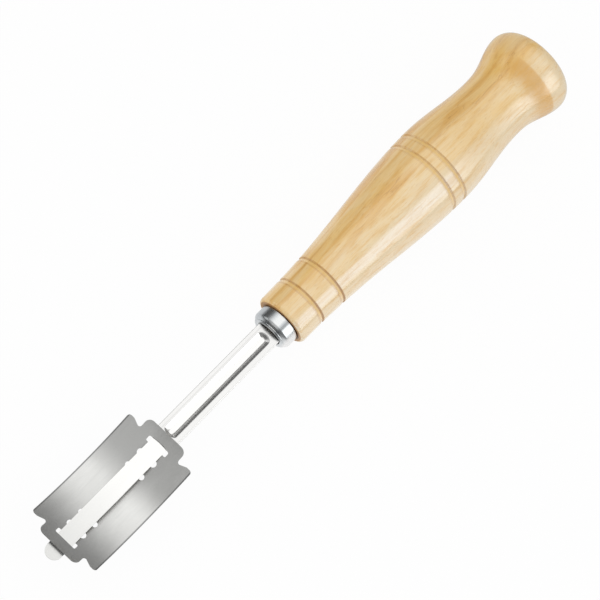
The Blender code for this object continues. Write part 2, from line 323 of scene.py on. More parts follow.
def makeWorld(setup):
    world = bpy.data.worlds.new("studio")
    scene.world = world
    world.use_nodes = True
    world.cycles.sampling_method = "NONE"   # so that each kind of ray sees its own part
    tree = world.node_tree
    tree.nodes.clear()
    direction = Wire(tree.nodes.new("ShaderNodeTexCoord").outputs["Generated"])
    along, across, up = direction.parts()
    ends = along.ramp(*setup["lowEndsFade"])
    tipSide = along.ramp(*setup["tipSideFade"]) * ends
    panel = along.band(setup["panelRise"], setup["panelFall"])
    overhead = ends * setup["lowEnds"] + tipSide * setup["tipSide"] + panel * setup["panel"]
    lean = across.math("ARCTAN2", across, up) * math.degrees(1)
    gap = lean.ramp(*setup["gapFade"]).above(setup["gapLevel"], 1 - setup["gapLevel"])
    board = lean.ramp(*setup["sideBoardFade"]) * setup["sideBoard"]
    board = board * along.ramp(*setup["sideBoardRise"]) * along.ramp(*setup["sideBoardFall"])
    level = overhead * lean.ramp(*setup["darkSideFade"]) * gap
    card = along.band(setup["cardRise"], setup["cardFall"]) * setup["card"]
    card = card * lean.ramp(*setup["cardLean"]) * lean.ramp(*setup["cardTop"])
    level = level.largest(board).largest(card) + setup["dimmest"]
    shiny, seen, _ = rayKinds(tree)
    even = direction.node("ShaderNodeBackground", None, {"Strength": setup["evenLight"]})
    room = direction.node("ShaderNodeBackground", None, {"Strength": level})
    white = direction.node("ShaderNodeBackground", None, {"Strength": 1.0})
    both = shiny.node("ShaderNodeMixShader", None, {0: shiny, 1: even, 2: room})
    every = seen.node("ShaderNodeMixShader", None, {0: seen, 1: both, 2: white})
    output = tree.nodes.new("ShaderNodeOutputWorld")
    tree.links.new(every.socket, output.inputs["Surface"])


def makeSoftbox(setup):
    rise, turn = math.radians(setup["boxElevation"]), math.radians(setup["boxTurn"])
    toward = Vector((math.cos(rise) * math.sin(turn), math.cos(rise) * math.cos(turn), math.sin(rise)))
    lamp = bpy.data.lights.new("softbox", "AREA")
    lamp.shape = "RECTANGLE"
    lamp.size, lamp.size_y = setup["boxSize"]
    lamp.energy = setup["boxLight"] * math.pi * lamp.size * lamp.size_y
    box = bpy.data.objects.new("softbox", lamp)
    centre = Vector((0.0, 0.0, axisHeight))
    box.location = centre + toward * setup["boxDistance"]
    box.rotation_euler = (-toward).to_track_quat("-Z", "Y").to_euler()
    scene.collection.objects.link(box)


makeFloor(studio)
makeWorld(studio)
makeSoftbox(studio)
scene.view_settings.view_transform = "Standard"
print("studio lit")


# a tree that turns a profile about the tool's axis: the profile's points are (place along, 0, radius)
def turningTree():
    tree = bpy.data.node_groups.new("turnedOnLathe", "GeometryNodeTree")
    ports = {}
    for name, kind in (("Profile", "NodeSocketGeometry"), ("Turn steps", "NodeSocketInt"),
                       ("Axis height", "NodeSocketFloat"), ("Finish", "NodeSocketMaterial")):
        ports[name] = tree.interface.new_socket(name, in_out="INPUT", socket_type=kind).identifier
    tree.interface.new_socket("Piece", in_out="OUTPUT", socket_type="NodeSocketGeometry")
    entry = tree.nodes.new("NodeGroupInput")
    profile, steps, height, finish = (Wire(entry.outputs[i]) for i in range(4))
    stations = profile.node("GeometryNodeAttributeDomainSize", {"component": "MESH"}, {0: profile})
    columns = steps + 1
    sockets = {"Vertices X": stations, "Vertices Y": columns}
    grid = steps.node("GeometryNodeMeshGrid", None, sockets)
    index = steps.node("GeometryNodeInputIndex")
    station = steps.math("FLOOR", (index + 0.5) / columns)
    angle = (index - station * columns) * (2 * math.pi) / steps
    where = steps.node("GeometryNodeInputPosition")
    settings = {"data_type": "FLOAT_VECTOR", "domain": "POINT"}
    sockets = {"Geometry": profile, "Value": where, "Index": station}
    point = steps.node("GeometryNodeSampleIndex", settings, sockets)
    along, _, radius = point.parts()
    across = radius * steps.math("SINE", angle)
    up = radius * steps.math("COSINE", angle) + height
    position = steps.node("ShaderNodeCombineXYZ", None, {0: along, 1: across, 2: up})
    turned = grid.node("GeometryNodeSetPosition", None, {"Geometry": grid, "Position": position})
    closed = turned.node("GeometryNodeMergeByDistance", None, {"Geometry": turned, "Distance": seam})
    smooth = closed.node("GeometryNodeSetShadeSmooth", None, {"Geometry": closed})
    real = smooth.node("GeometryNodeRealizeInstances", None, {"Geometry": smooth})
    made = real.node("GeometryNodeSetMaterial", None, {"Geometry": real, "Material": finish})
    leave = tree.nodes.new("NodeGroupOutput")
    tree.links.new(made.socket, leave.inputs[0])
    return tree, ports


lathe, lathePorts = turningTree()
turnedSharp = math.radians(28)   # edges that turn more than this stay sharp


def turnedMesh(name, points, steps, finish):
    profile = bpy.data.meshes.new(name)
    edges = [(i, i + 1) for i in range(len(points) - 1)]
    profile.from_pydata([(along, 0.0, radius) for along, radius in points], edges, [])
    source = bpy.data.objects.new(name + "Profile", profile)
    scene.collection.objects.link(source)
    turning = source.modifiers.new("turn", "NODES")
    turning.node_group = lathe
    turning[lathePorts["Turn steps"]] = steps
    turning[lathePorts["Axis height"]] = axisHeight
    turning[lathePorts["Finish"]] = finish
    mesh = tidyMesh(bakedMesh(source, name))
    mesh.set_sharp_from_angle(angle=turnedSharp)
    return mesh


# wooden handle
handle = {
    "frontX": ferruleLow.x - 0.1 * mm,
    "boreEndX": tubeLow.x - 2.2 * mm,
    "boreRadius": 4.0 * mm,
    "spigotRadius": 4.85 * mm,
    "spigotChamfer": 0.5 * mm,
    "frontRadius": 7.75 * mm,
    "frontEdge": 1.0 * mm,
    "bellyRadius": 11.85 * mm,
    "bellyFromFront": 60.9 * mm,
    "neckRadius": 9.8 * mm,
    "neckFromButt": 19.0 * mm,
    "flareRadius": 12.75 * mm,
    "flareFromButt": 4.6 * mm,
    "buttFaceRadius": 8.5 * mm,
    "frontSwell": 1.15,
    "flareSwell": 1.2,
    "ringsFromFront": (7.8 * mm, 15.6 * mm, 55.35 * mm, 59.5 * mm),
    "ringBack": 0.45 * mm,       # how far a ring goes toward the butt and toward the front
    "ringAhead": 1.1 * mm,
    "ringDeepest": -0.15 * mm,
    "ringDepth": 0.28 * mm,
    "station": 0.6 * mm,
    "ringStation": 0.05 * mm,
    "ringReach": 1.1,            # of ringAhead, where the stations are close together
    "edgeSteps": 10,
    "capSteps": 24,
    "turnSteps": 144,
}
handle["length"] = handle["frontX"] - handleLow.x


def woodRadius(back):
    h = handle
    neck = h["length"] - h["neckFromButt"]
    flare = h["length"] - h["flareFromButt"]
    if back <= h["bellyFromFront"]:
        share = (max(back, 0.0) / h["bellyFromFront"]) ** h["frontSwell"]
        return h["frontRadius"] + (h["bellyRadius"] - h["frontRadius"]) * ease(share)
    if back <= neck:
        share = (back - h["bellyFromFront"]) / (neck - h["bellyFromFront"])
        return h["bellyRadius"] + (h["neckRadius"] - h["bellyRadius"]) * ease(share)
    share = min(1.0, (back - neck) / (flare - neck)) ** h["flareSwell"]
    return h["neckRadius"] + (h["flareRadius"] - h["neckRadius"]) * ease(share)


# a ring is steep on its butt side and slopes on its front side
def ringCut(back):
    h = handle
    depth = 0.0
    for ring in h["ringsFromFront"]:
        off = ring - back
        if -h["ringBack"] < off <= h["ringDeepest"]:
            depth = h["ringDepth"] * ease((off + h["ringBack"]) / (h["ringDeepest"] + h["ringBack"]))
        elif h["ringDeepest"] < off < h["ringAhead"]:
            depth = h["ringDepth"] * ease((h["ringAhead"] - off) / (h["ringAhead"] - h["ringDeepest"]))
    return depth


def handleOutline():
    h = handle
    flare = h["length"] - h["flareFromButt"]
    count = math.ceil((flare - h["frontEdge"]) / h["station"])
    backs = [h["frontEdge"] + (flare - h["frontEdge"]) * i / count for i in range(1, count + 1)]
    reach = h["ringAhead"] * h["ringReach"]
    backs = [back for back in backs if all(abs(back - ring) > reach for ring in h["ringsFromFront"])]
    ringSteps = math.ceil(2 * reach / h["ringStation"])
    for ring in h["ringsFromFront"]:
        backs += [ring - reach + 2 * reach * i / ringSteps for i in range(ringSteps + 1)]
    top, spigot, chamfer = handleHigh.x, h["spigotRadius"], h["spigotChamfer"]
    points = [(h["boreEndX"], 0.0), (h["boreEndX"], h["boreRadius"]), (top, h["boreRadius"])]
    points += [(top, spigot - chamfer), (top - chamfer, spigot), (h["frontX"], spigot)]
    rim = woodRadius(h["frontEdge"]) - h["frontEdge"]
    points += [(h["frontX"], (rim + spigot) / 2)]
    edge = arc(0, 0, h["frontEdge"], 90, 0, h["edgeSteps"])
    points += [(h["frontX"] - h["frontEdge"] + x, rim + r) for r, x in edge]
    points += [(h["frontX"] - back, woodRadius(back) - ringCut(back)) for back in sorted(backs)]
    for i in range(1, h["capSteps"] + 1):
        angle = math.pi / 2 * i / h["capSteps"]
        radius = h["buttFaceRadius"] + (h["flareRadius"] - h["buttFaceRadius"]) * math.cos(angle)
        points.append((handleLow.x + h["flareFromButt"] * (1 - math.sin(angle)), radius))
    points += [(handleLow.x, h["buttFaceRadius"] * share) for share in (0.75, 0.5, 0.25, 0.0)]
    return points


# in the finishes a pair of places is a ramp, in millimetres: a Side is across Y, and a Back is behind the
# handle's front. A Noise is its scale along each axis, detail, roughness and distortion
beech = {
    "honey": tone(238, 195, 114),
    "pale": tone(241, 219, 177),
    "amber": tone(221, 167, 80),
    "fleck": tone(160, 106, 50),
    "paleSheen": tone(240, 225, 198),
    "scorch": tone(150, 88, 18),
    "toastAndHighlight": tone(240, 199, 122),
    "lip": tone(184, 126, 54),
    "endGrainShade": tone(176, 124, 72),
    "bore": tone(96, 62, 32),
    "spigot": tone(200, 182, 160),
    "highlightStripe": tone(226, 222, 216),
    "cloudNoise": ((0.05, 0.16, 0.16), 3.0, 0.5, 0.6),
    "streakNoise": ((0.022, 0.35, 0.35), 3.0, 0.55, 0.4),
    "grainNoise": ((0.09, 1.1, 1.1), 3.0, 0.6),
    "fibreNoise": ((0.22, 3.6, 3.6), 3.0, 0.65),
    "vesselNoise": ((0.016, 1.3, 1.3), 2.0, 0.5, 0.3),
    "fleckScale": (0.4, 2.6, 2.6),
    "goldenShadeSide": (1.5, -3.5),
    "goldenBack": ((48.0, 80.0), (100.0, 92.0)),
    "goldenCloud": (0.35, 0.68),
    "goldenShares": (0.4, 0.5, 0.2),             # of the cloud, the side and the place along
    "paleSheenSide": (2.5, 6.0),
    "paleSheenShare": 0.5,
    "highlightStripeSide": ((0.38, 0.5), (0.74, 0.62)),   # as shares of the radius
    "highlightStripeBack": (62.0, 56.0),
    "highlightStripeShare": 0.36,
    "streaks": (0.40, 0.62),
    "streakShares": (0.1, 0.6),                  # everywhere, and more on the golden side
    "grains": (0.48, 0.7),
    "grainShare": 0.36,
    "fibres": (0.5, 0.72),
    "fibreShare": 0.34,
    "vesselAt": 0.56,
    "vesselFade": (0.035, 0.0),
    "vesselStreaks": (0.4, 0.6),
    "vesselShares": (0.06, 0.3),
    "fleckFade": (0.3, 0.08),
    "fleckChance": (0.6, 0.8),
    "fleckShare": 0.2,
    "flareBack": ((88.0, 92.5), (95.3, 94.6)),
    "flareSide": (-5.0, -2.2),
    "flareShadeShare": 0.68,
    "ringShares": (0.54, 0.54, 0.28, 0.28),
    "ringSide": (-7.0, 7.0),
    "ringSideShares": (0.6, 0.52),
    "scorchAt": -0.2,                            # from a ring, toward the front
    "scorchFade": (0.42, 0.12),
    "toastAt": 0.4,
    "toastFade": (0.55, 0.3),
    "toastShare": 0.65,
    "lipAt": 1.05,
    "lipFade": (0.42, 0.08),
    "lipShare": 0.6,
    "frontBack": (0.08, 0.0),
    "frontShare": 0.8,
    "gapShadowRadii": (6.5, 6.0),
    "gapShadowSide": (-4.0, 0.0),
    "gapShadowShares": (0.4, 0.6),
    "spigotRadii": (5.4, 5.0),
    "rimBack": (91.5, 99.5),
    "rimSide": (-3.0, -7.0),
    "rimSheenShare": 0.4,
    "buttDepth": (1.0, 0.1),
    "buttSheenShare": 0.35,
    "rough": (0.42, 0.2),                        # everywhere, and more in the fibres
    "bareRings": 1.7,
    "bareBack": (0.3, 0.0),
    "bareShare": 0.9,
    "coatGrains": (0.62, 0.4),
    "coat": (0.62, 0.38),
    "coatIor": 1.85,
    "coatRough": 0.13,
    "specular": 0.3,
    "relief": (0.5, 0.8, 0.4),                   # of the fibres, the grain and the flecks
    "reliefDepth": 0.035 * mm,
}


def beechFinish():
    b = beech
    material, shader, place = newFinish("varnishedBeech")
    x, y, z = place.parts()
    up = z - axisHeight / mm
    back = handle["frontX"] / mm - x
    # soft clouds, streaks and fibres, each longer than wide
    cloud = place.noise(*b["cloudNoise"])
    streak = place.noise(*b["streakNoise"])
    grain = place.noise(*b["grainNoise"])
    fibre = place.noise(*b["fibreNoise"])
    # painted shade: the -Y side, away from the softbox, is a deeper amber, and the clouds and the back
    # half add more golden tone
    side = y.ramp(*b["goldenShadeSide"])
    byCloud, bySide, byBack = b["goldenShares"]
    golden = cloud.ramp(*b["goldenCloud"]) * byCloud + side * bySide + back.band(*b["goldenBack"]) * byBack
    colour = golden.mix(b["pale"], b["honey"])
    # painted sheen: the +Y side, toward the softbox, is mixed toward a paler tone
    colour = (y.ramp(*b["paleSheenSide"]) * b["paleSheenShare"]).mix(colour, b["paleSheen"])
    # a painted highlight: a whitish stripe on the softbox side runs from the front to the belly
    fromAxis = y.math("SQRT", y * y + up * up)
    highlightStripe = (y / fromAxis).band(*b["highlightStripeSide"]) * back.ramp(*b["highlightStripeBack"])
    colour = (highlightStripe * b["highlightStripeShare"]).mix(colour, b["highlightStripe"])
    # the amber streaks, and below them the vessel lines, are stronger on the -Y side as part of the
    # painted shade
    colour = (streak.ramp(*b["streaks"]) * side.above(*b["streakShares"])).mix(colour, b["amber"])
    colour = (grain.ramp(*b["grains"]) * b["grainShare"]).mix(colour, b["amber"])
    colour = (fibre.ramp(*b["fibres"]) * b["fibreShare"]).mix(colour, b["amber"])
    # dark vessel lines in the streaks, and small flecks
    vessel = place.noise(*b["vesselNoise"]).line(b["vesselAt"], b["vesselFade"])
    vessel = vessel * streak.ramp(*b["vesselStreaks"]) * side.above(*b["vesselShares"])
    colour = vessel.mix(colour, b["fleck"])
    spread = place.scaled(b["fleckScale"])
    cell = spread.node("ShaderNodeTexVoronoi", None, {"Vector": spread, "Scale": 1.0})
    chance = Wire(cell.socket.node.outputs["Color"]).parts()[0]
    fleck = cell.ramp(*b["fleckFade"]) * chance.ramp(*b["fleckChance"])
    colour = (fleck * b["fleckShare"]).mix(colour, b["fleck"])
    # painted shade: the front slope of the flare, where the varnish reflects no bright light, is a deeper
    # amber
    slope = back.band(*b["flareBack"]) * y.ramp(*b["flareSide"])
    colour = (slope * b["flareShadeShare"]).mix(colour, b["amber"])
    # scorched rings: a dark line on the butt side, a toasted band that also carries a painted highlight on
    # the ring's front slope, and a thin line on the front side
    deeper = y.ramp(*b["ringSide"]).above(*b["ringSideShares"])
    burnt, toasted, lip = 0.0, 0.0, 0.0
    for ring, strength in zip(handle["ringsFromFront"], b["ringShares"]):
        gap = ring / mm - back
        burnt = gap.line(b["scorchAt"], b["scorchFade"]) * deeper * strength + burnt
        toasted = gap.line(b["toastAt"], b["toastFade"]) + toasted
        lip = gap.line(b["lipAt"], b["lipFade"]) * strength + lip
    colour = (toasted * b["toastShare"]).mix(colour, b["toastAndHighlight"])
    colour = (lip * b["lipShare"]).mix(colour, b["lip"])
    colour = burnt.mix(colour, b["scorch"])
    # the front face is end grain, darkened further as painted shade, with a painted shadow in the gap
    # around the ferrule; the butt's rim and end get a painted highlight
    front = back.ramp(*b["frontBack"])
    colour = (front * b["frontShare"]).mix(colour, b["endGrainShade"])
    # painted shadow in the gap beside the ferrule, in the bore colour, strongest toward +Y
    shade = y.ramp(*b["gapShadowSide"]).above(*b["gapShadowShares"])
    colour = (front * fromAxis.ramp(*b["gapShadowRadii"]) * shade).mix(colour, b["bore"])
    colour = (front * fromAxis.ramp(*b["spigotRadii"])).mix(colour, b["spigot"])
    # painted highlight along the -Y side of the butt's rounded rim
    rim = back.ramp(*b["rimBack"]) * y.ramp(*b["rimSide"])
    colour = (rim * b["rimSheenShare"]).mix(colour, b["pale"])
    # painted highlight on the last millimetre at the butt, in the toast colour
    buttSheen = (x - handleLow.x / mm).ramp(*b["buttDepth"])
    colour = (buttSheen * b["buttSheenShare"]).mix(colour, b["toastAndHighlight"])
    # the varnish is thin in the rings and on the front face, and broken up by the grain
    bare = burnt.math("MINIMUM", burnt * b["bareRings"], 1.0).largest(back.ramp(*b["bareBack"]))
    coat = (1 - bare * b["bareShare"]) * grain.ramp(*b["coatGrains"]).above(*b["coat"])
    byFibre, byGrain, byFleck = b["relief"]
    relief = fibre * byFibre + grain * byGrain - fleck * byFleck
    setShader(shader, {"Base Color": colour, "Roughness": fibre.above(*b["rough"]), "Coat Weight": coat,
                       "Coat Roughness": b["coatRough"], "Coat IOR": b["coatIor"],
                       "Specular IOR Level": b["specular"], "Normal": bump(relief, b["reliefDepth"])})
    return material


handleMesh = turnedMesh("handleWood", handleOutline(), handle["turnSteps"], beechFinish())
addPiece("handleWood", handleMesh, "holder", "handle")


# ferrule: a straight skirt, a round shoulder, a cone with a turned step, and a flat nose around its hole
ferrule = {
    "radius": 5.9 * mm,
    "wall": 0.6 * mm,
    "lip": 3.65 * mm,
    "skirt": 2.8 * mm,
    "shoulder": 0.95 * mm,
    "shoulderDrop": 0.42 * mm,
    "noseRadius": 4.72 * mm,
    "holeRise": 0.5 * mm,        # how much wider the hole is above the flattened tube
    "holeRiseFrom": (0.2, 0.5),  # height, as a share of the radius
    "noseEdge": 0.1 * mm,
    "edge": 0.15 * mm,
    "stepAt": 0.55,              # share of the way down the cone
    "stepWidth": 0.12 * mm,
    "innerInset": 0.6,           # share of the wall
    "innerBack": 0.2 * mm,
    "shoulderSteps": 10,
    "turnSteps": 160,
}


def ferruleOutline():
    f = ferrule
    back, face = ferruleLow.x, ferruleHigh.x
    shoulderX = back + f["skirt"]
    top = (shoulderX + f["shoulder"], f["radius"] - f["shoulderDrop"])
    nose = (face - f["noseEdge"], f["noseRadius"])
    bend = (top[0] - f["shoulderDrop"] * (nose[0] - top[0]) / (top[1] - nose[1]), f["radius"])
    points = [(back, f["radius"] - f["wall"]), (back, f["radius"] - f["edge"])]
    points += [(back + f["edge"], f["radius"]), (back + f["skirt"] / 2, f["radius"])]
    for i in range(f["shoulderSteps"] + 1):
        share = i / f["shoulderSteps"]
        points.append(tuple((1 - share) ** 2 * p + 2 * share * (1 - share) * q + share ** 2 * r
                            for p, q, r in zip((shoulderX, f["radius"]), bend, top)))
    step = tuple(p + (q - p) * f["stepAt"] for p, q in zip(top, nose))
    points += [step, (step[0] + f["stepWidth"], step[1])]
    points += [(step[0] + f["stepWidth"], step[1] - f["stepWidth"])]
    points += [nose, (face, f["noseRadius"] - f["noseEdge"]), (face, f["lip"] + f["noseEdge"])]
    points += [(face - f["noseEdge"], f["lip"]), (face - f["wall"], f["lip"])]
    inner = f["radius"] - f["wall"]
    points += [(top[0] - f["wall"] * f["innerInset"], top[1] - f["wall"])]
    points += [(shoulderX - f["innerBack"], inner)]
    points.append(points[0])
    return points


# the upper half of the hole clears the corners of the flattened tube
def widenHole(mesh):
    f = ferrule
    low, high = f["holeRiseFrom"]
    for vertex in mesh.vertices:
        across, up = vertex.co.y, vertex.co.z - axisHeight
        radius = math.hypot(across, up)
        inNose = radius < f["noseRadius"] - f["noseEdge"] / 2
        if inNose and vertex.co.x > ferruleHigh.x - 2 * f["wall"]:
            upper = ease(min(1.0, max(0.0, (up / radius - low) / (high - low))))
            share = (f["noseRadius"] - radius) / (f["noseRadius"] - f["lip"])
            wider = 1 + f["holeRise"] * upper * share / radius
            vertex.co.y = across * wider
            vertex.co.z = axisHeight + up * wider


plated = {
    "grey": ((0.60, 0.63, 0.645, 1.0), (0.68, 0.70, 0.71, 1.0)),
    # the colours after grey are painted reflections, placed across Y
    "shadeReflection": (0.43, 0.455, 0.48, 1.0),
    "paintedHighlight": (0.93, 0.94, 0.93, 1.0),
    "paintedDarkStreak": (0.36, 0.38, 0.39, 1.0),
    # a painted highlight on the +Y edge of the skirt
    "edge": (0.93, 0.91, 0.90, 1.0),
    "turnedNoise": ((9.0, 0.05, 0.05), 2.0),
    "smudgeNoise": ((0.5, 0.5, 0.5), 3.0, 0.6),
    "smudges": (0.35, 0.7),
    "shadeReflectionSide": (-3.0, -5.2),
    "shadeReflectionShare": 0.6,
    "paintedHighlightSide": ((-2.0, -0.3), (1.5, 0.7)),
    "paintedHighlightShare": 0.85,
    "paintedDarkStreakAt": 1.95,
    "paintedDarkStreakFade": (0.6, 0.2),
    "paintedDarkStreakShare": 0.6,
    "edgeHighlightSide": (4.1, 5.1),
    "edgeHighlightShare": 0.7,
    "rough": (0.23, 0.06),       # everywhere, and more in the smudges
    "roughSmudges": (0.4, 0.8),
    "roughTurned": 0.04,
    "reliefDepth": 0.002 * mm,
}


def platedFinish():
    p = plated
    material, shader, place = newFinish("platedSteel")
    turned = place.noise(*p["turnedNoise"])
    smudge = place.noise(*p["smudgeNoise"])
    colour = smudge.ramp(*p["smudges"]).mix(*p["grey"])
    # painted reflections: dark on the -Y side, a highlight streak and a dark streak along the skirt, and a
    # painted highlight on the +Y edge
    y = place.parts()[1]
    colour = (y.ramp(*p["shadeReflectionSide"]) * p["shadeReflectionShare"]).mix(colour, p["shadeReflection"])
    colour = (y.band(*p["paintedHighlightSide"]) * p["paintedHighlightShare"]).mix(colour, p["paintedHighlight"])
    colour = (y.line(p["paintedDarkStreakAt"], p["paintedDarkStreakFade"]) * p["paintedDarkStreakShare"]).mix(colour, p["paintedDarkStreak"])
    colour = (y.ramp(*p["edgeHighlightSide"]) * p["edgeHighlightShare"]).mix(colour, p["edge"])
    rough = smudge.ramp(*p["roughSmudges"]).above(*p["rough"]) + turned * p["roughTurned"]
    setShader(shader, {"Base Color": colour, "Metallic": 1.0, "Roughness": rough,
                       "Normal": bump(turned, p["reliefDepth"])})
    return material


ferruleMesh = turnedMesh("ferruleCap", ferruleOutline(), ferrule["turnSteps"], platedFinish())
widenHole(ferruleMesh)
addPiece("ferruleCap", ferruleMesh, "holder", "ferrule")


# shank tube with the groove pressed into its front side, which leaves a flat rim on each side
shank = {
    "radius": 3.5 * mm,
    "wall": 0.8 * mm,
    "frontWall": 0.35 * mm,               # where the front side is pressed
    "grooveFloor": 1.3 * mm,              # above the axis
    "grooveFlat": 0.6 * mm,               # half-widths of its floor and its mouth
    "grooveMouth": 2.3 * mm,
    "grooveSoftness": (0.2, 0.35),        # rounded shares of its wall, at the floor and at the rim
    "grooveFromFerrule": 0.9 * mm,
    "grooveFromEnd": 0.3 * mm,
    "grooveEnds": (1.7 * mm, 1.2 * mm),   # lengths of the round ends, at the ferrule and at the blade
    "rimHeight": 2.2 * mm,
    "rimCorner": 0.12 * mm,
    "underTab": 0.6 * mm,                 # how far it goes on under the blade's end
    "roundUpTo": ferruleLow.x + 1.0 * mm,
    "endEdge": 0.15 * mm,
    "endAngles": (30, 60, 90),
    "around": 250,
    "station": 1.2 * mm,
    "fineStation": 0.1 * mm,
    "fineReach": 1.5,                     # lengths of a round end, where the stations are close together
    "sectionSteps": 300,                  # a quarter of a section, before it is spaced evenly
}
grooveLow = ferruleHigh.x + shank["grooveFromFerrule"]
shankEnd = tubeHigh.x + shank["underTab"]
grooveHigh = shankEnd - shank["grooveFromEnd"]


# a straight rise from 0 to 1 with soft ends
def softRise(share, softStart, softEnd):
    share = min(1.0, max(0.0, share))
    slope = 2 / (2 - softStart - softEnd)
    if share < softStart:
        return slope * share ** 2 / (2 * softStart)
    if share > 1 - softEnd:
        return 1 - slope * (1 - share) ** 2 / (2 * softEnd)
    return slope * (share - softStart / 2)


# how deep the groove is at a place, from 0 to 1
def grooveShare(x, across):
    lowEnd, highEnd = shank["grooveEnds"]
    flat, mouth = shank["grooveFlat"], shank["grooveMouth"]
    past = max((grooveLow + lowEnd - x) / lowEnd, (x - grooveHigh + highEnd) / highEnd, 0.0)
    off = math.hypot(across / mouth, past) * mouth
    return 1 - softRise((off - flat) / (mouth - flat), *shank["grooveSoftness"])


# height of the tube's front side: round in the handle, flat-rimmed from the ferrule on, less the groove
def frontSide(x, across, radius):
    rounded = math.sqrt(max(0.0, radius ** 2 - across ** 2))
    if x < shank["roundUpTo"]:
        return rounded
    corner = shank["rimCorner"]
    past = min(corner, max(0.0, abs(across) - radius + corner))
    rim = shank["rimHeight"] - corner + math.sqrt(corner ** 2 - past ** 2)
    return rim - (shank["rimHeight"] - shank["grooveFloor"]) * grooveShare(x, across)


# one section: (across, up) points once around, evenly spaced, starting underneath
def tubeSection(x, radius, inside, count):
    fine = shank["sectionSteps"]
    points = []
    for i in range(fine):
        angle = math.pi - math.pi / 2 * i / fine
        points.append((radius * math.sin(angle), radius * math.cos(angle)))
    for i in range(2 * fine + 1):
        across = radius * math.cos(math.pi / 2 * i / fine)
        up = math.sqrt(max(0.0, radius ** 2 - across ** 2))
        if inside:
            up = min(up, frontSide(x, across, shank["radius"]) - shank["frontWall"])
        else:
            up = frontSide(x, across, radius)
        points.append((across, up))
    for i in range(1, fine + 1):
        angle = -math.pi / 2 - math.pi / 2 * i / fine
        points.append((radius * math.sin(angle), radius * math.cos(angle)))
    lengths = [0.0]
    for a, b in zip(points, points[1:]):
        lengths.append(lengths[-1] + math.dist(a, b))
    section, k = [], 0
    for i in range(count):
        target = lengths[-1] * i / count
        while lengths[k + 1] < target:
            k += 1
        part = (target - lengths[k]) / (lengths[k + 1] - lengths[k])
        section.append(tuple(p + (q - p) * part for p, q in zip(points[k], points[k + 1])))
    return section


def tubeMesh():
    s = shank
    stations = [tubeLow.x + s["endEdge"], handle["frontX"]]
    lowReach, highReach = (s["fineReach"] * length for length in s["grooveEnds"])
    x = ferruleHigh.x - s["wall"]
    while x < shankEnd - s["endEdge"]:
        stations.append(x)
        nearEnd = x < grooveLow + lowReach or x > grooveHigh - highReach
        x += s["fineStation"] if nearEnd else s["station"]
    stations.append(shankEnd - s["endEdge"])
    rows = []
    for angle in reversed(s["endAngles"]):
        edge = s["endEdge"] * (1 - math.cos(math.radians(angle)))
        x = tubeLow.x + s["endEdge"] * (1 - math.sin(math.radians(angle)))
        rows.append((x, tubeSection(x, s["radius"] - edge, False, s["around"])))
    rows += [(x, tubeSection(x, s["radius"], False, s["around"])) for x in stations]
    for angle in s["endAngles"]:
        edge = s["endEdge"] * (1 - math.cos(math.radians(angle)))
        x = shankEnd - s["endEdge"] * (1 - math.sin(math.radians(angle)))
        section = tubeSection(x, s["radius"] - edge, False, s["around"])
        rows.append((x, [(across, up - edge if up > 0 else up) for across, up in section]))
    bore = s["radius"] - s["wall"]
    for x in [shankEnd] + stations[::-1] + [tubeLow.x]:
        rows.append((x, tubeSection(x, bore, True, s["around"])))
    work = bmesh.new()
    rings = []
    for x, section in rows:
        rings.append([work.verts.new((x, across, axisHeight + up)) for across, up in section])
    for first, second in zip(rings, rings[1:] + rings[:1]):
        for i in range(len(first)):
            j = (i + 1) % len(first)
            work.faces.new((first[i], first[j], second[j], second[i]))
    bmesh.ops.recalc_face_normals(work, faces=work.faces)
    mesh = bpy.data.meshes.new("shankTube")
    work.to_mesh(mesh)
    work.free()
    mesh.shade_smooth()
    return mesh


polish = {
    "grey": ((0.88, 0.875, 0.86, 1.0), (0.92, 0.915, 0.90, 1.0)),
    "brightReflection": (0.985, 0.98, 0.96, 1.0),
    "line": (0.78, 0.775, 0.76, 1.0),
    "tip": (0.77, 0.77, 0.75, 1.0),
    "rear": (0.30, 0.28, 0.25, 1.0),
    "drawnNoise": ((0.05, 6.0, 6.0), 3.0, 0.6),
    "cloudNoise": ((0.12, 0.5, 0.5), 3.0, 0.55),
    "clouds": (0.3, 0.75),
    "tongueStart": (0.0, 0.1),                 # past the tube's end
    "floorHeight": ((1.9, 1.5), (0.0, 1.0)),   # above the axis
    "floorSide": (2.3, 1.6),                   # the same toward -Y
    "lineHeight": (1.6, 1.9),
    "innerLineAt": -2.45,
    "innerLineFade": (0.28, 0.06),
    "outerLineAt": 3.36,
    "outerLineFade": (0.26, 0.06),
    "rimReflectionShare": 0.8,
    "tipStart": 12.0,                          # past the blade's end
    "rearShare": 0.9,
    "rough": (0.2, 0.06),                      # everywhere, and more in the clouds
    "roughDrawn": 0.06,
    "roughRear": 0.15,
    "reliefDepth": 0.003 * mm,
}


